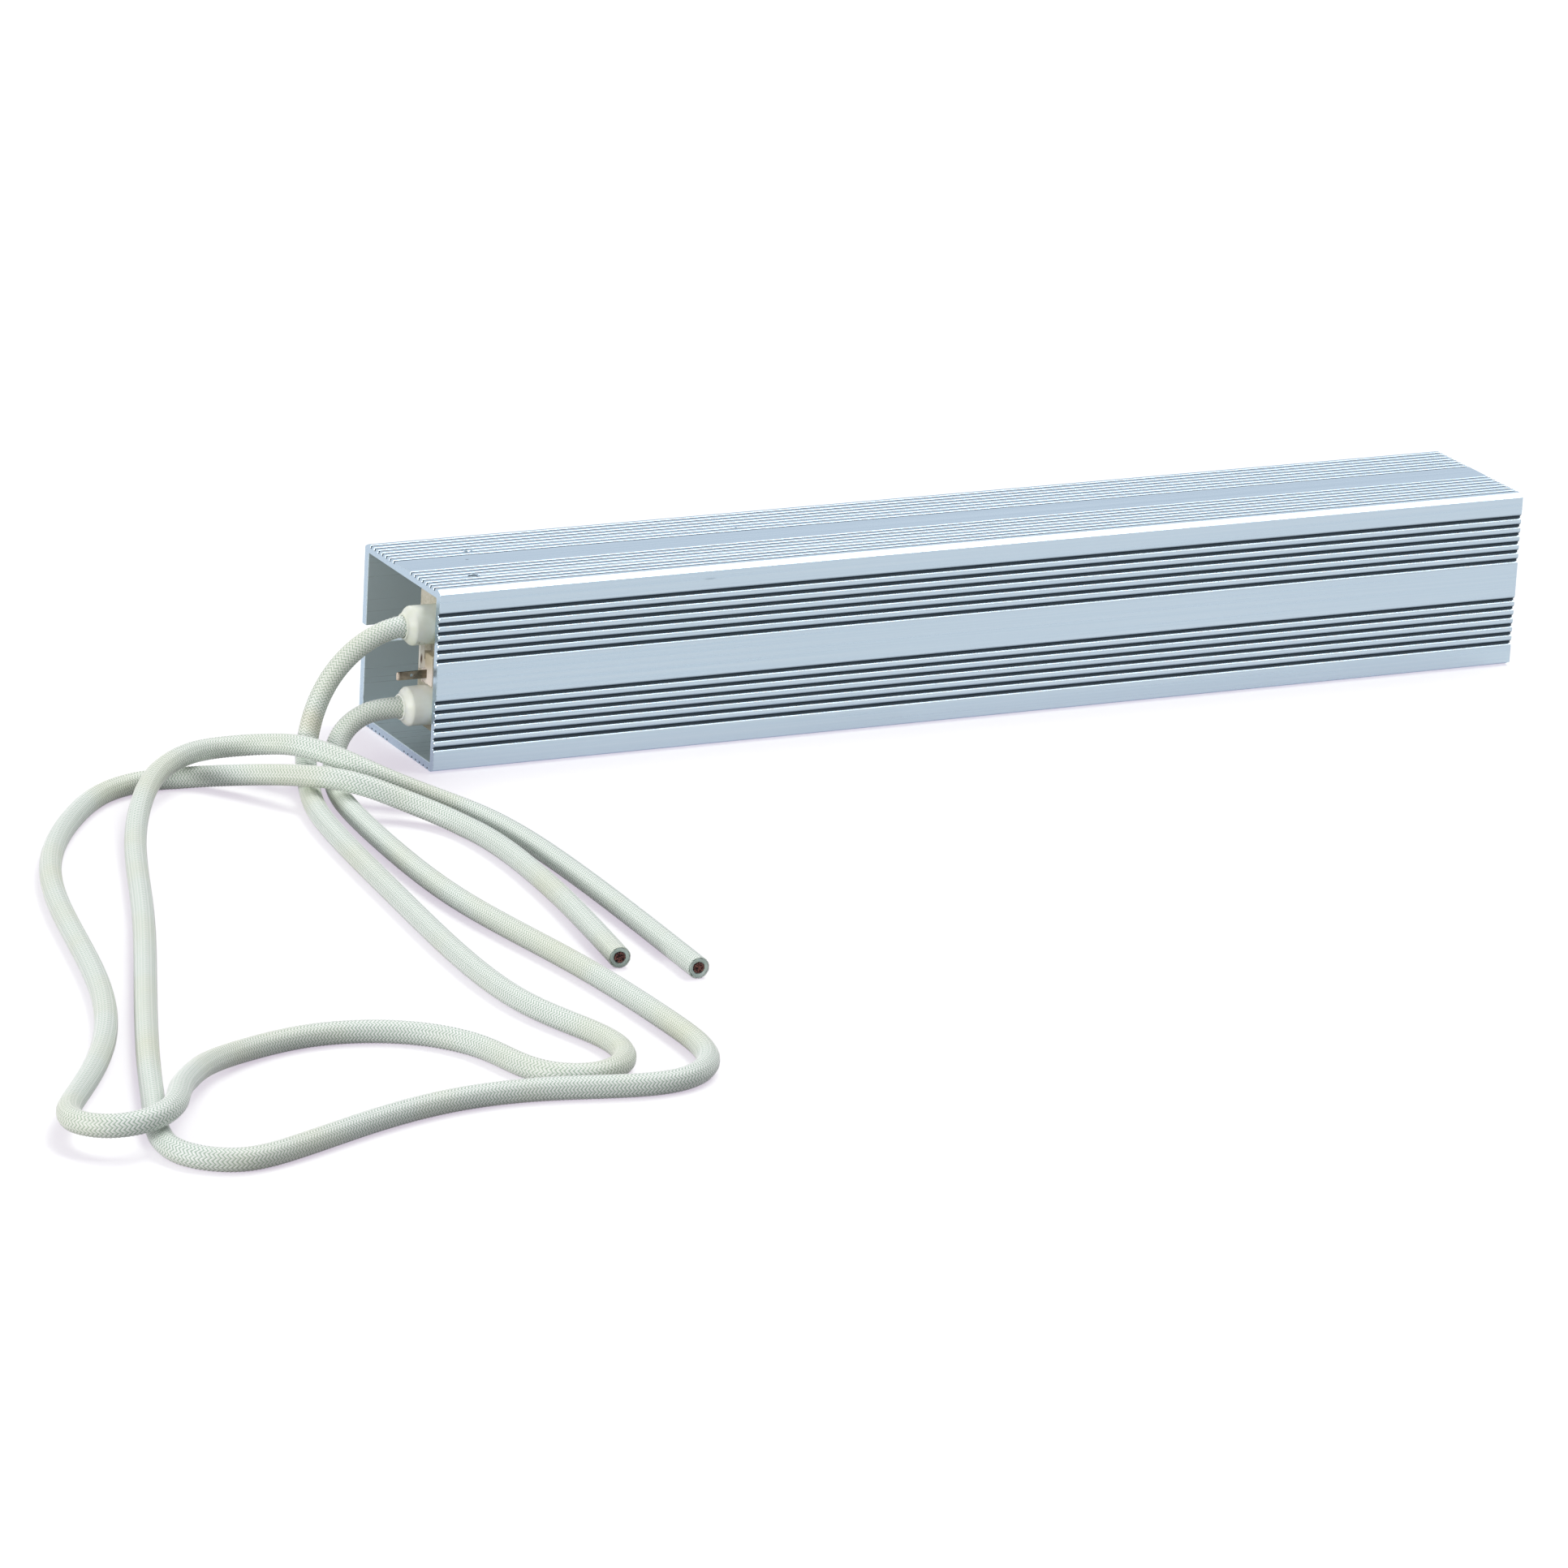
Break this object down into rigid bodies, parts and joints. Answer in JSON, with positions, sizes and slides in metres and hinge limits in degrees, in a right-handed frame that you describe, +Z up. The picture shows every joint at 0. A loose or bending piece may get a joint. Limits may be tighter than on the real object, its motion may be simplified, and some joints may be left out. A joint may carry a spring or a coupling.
{
  "type": "dynamic braking resistor",
  "caption": "Aluminium-housed braking resistor: a grooved channel with a rear slot, a potted wire element, a heat switch and braided leads with bare ends.",
  "frame": {"origin": "middle of the channel's bottom face, which it lies on", "axes": "+X along the channel, away from the lead end; +Y towards the slotted rear wall; +Z up"},
  "size_m": [0.6442, 0.3733, 0.061],
  "materials": {
    "anodised_aluminium": "satin anodised, drawn lines along the length",
    "cement": "matt, cast",
    "mica": "matt sheet",
    "resistance_alloy": "drawn wire",
    "plated_strap": "plated",
    "tinned_crimp": "tinned",
    "copper_strand": "bare strands",
    "silicone": "translucent, moulded",
    "glass_braid": "braided, silky",
    "switch_ceramic": "matt, moulded",
    "switch_metal": "pressed",
    "plated_tab": "plated, dull"
  },
  "bodies": {
    "root": {"housing": "anodised_aluminium", "cement_block": "cement", "winding_former": "mica", "resistance_winding": "resistance_alloy", "near_terminal": "plated_strap", "far_terminal": "plated_strap", "return_strap": "plated_strap", "insulating_sheet": "mica", "upper_crimp": "tinned_crimp", "lower_crimp": "tinned_crimp", "upper_core": "copper_strand", "lower_core": "copper_strand", "upper_bushing": "silicone", "lower_bushing": "silicone", "upper_lead": "glass_braid", "lower_lead": "glass_braid", "switch_body": "switch_ceramic", "switch_cap": "switch_metal", "switch_disc": "resistance_alloy", "switch_pin": "switch_ceramic", "switch_cover": "switch_ceramic", "straight_tab": "plated_tab", "upright_tab": "plated_tab"}
  },
  "joints": []
}
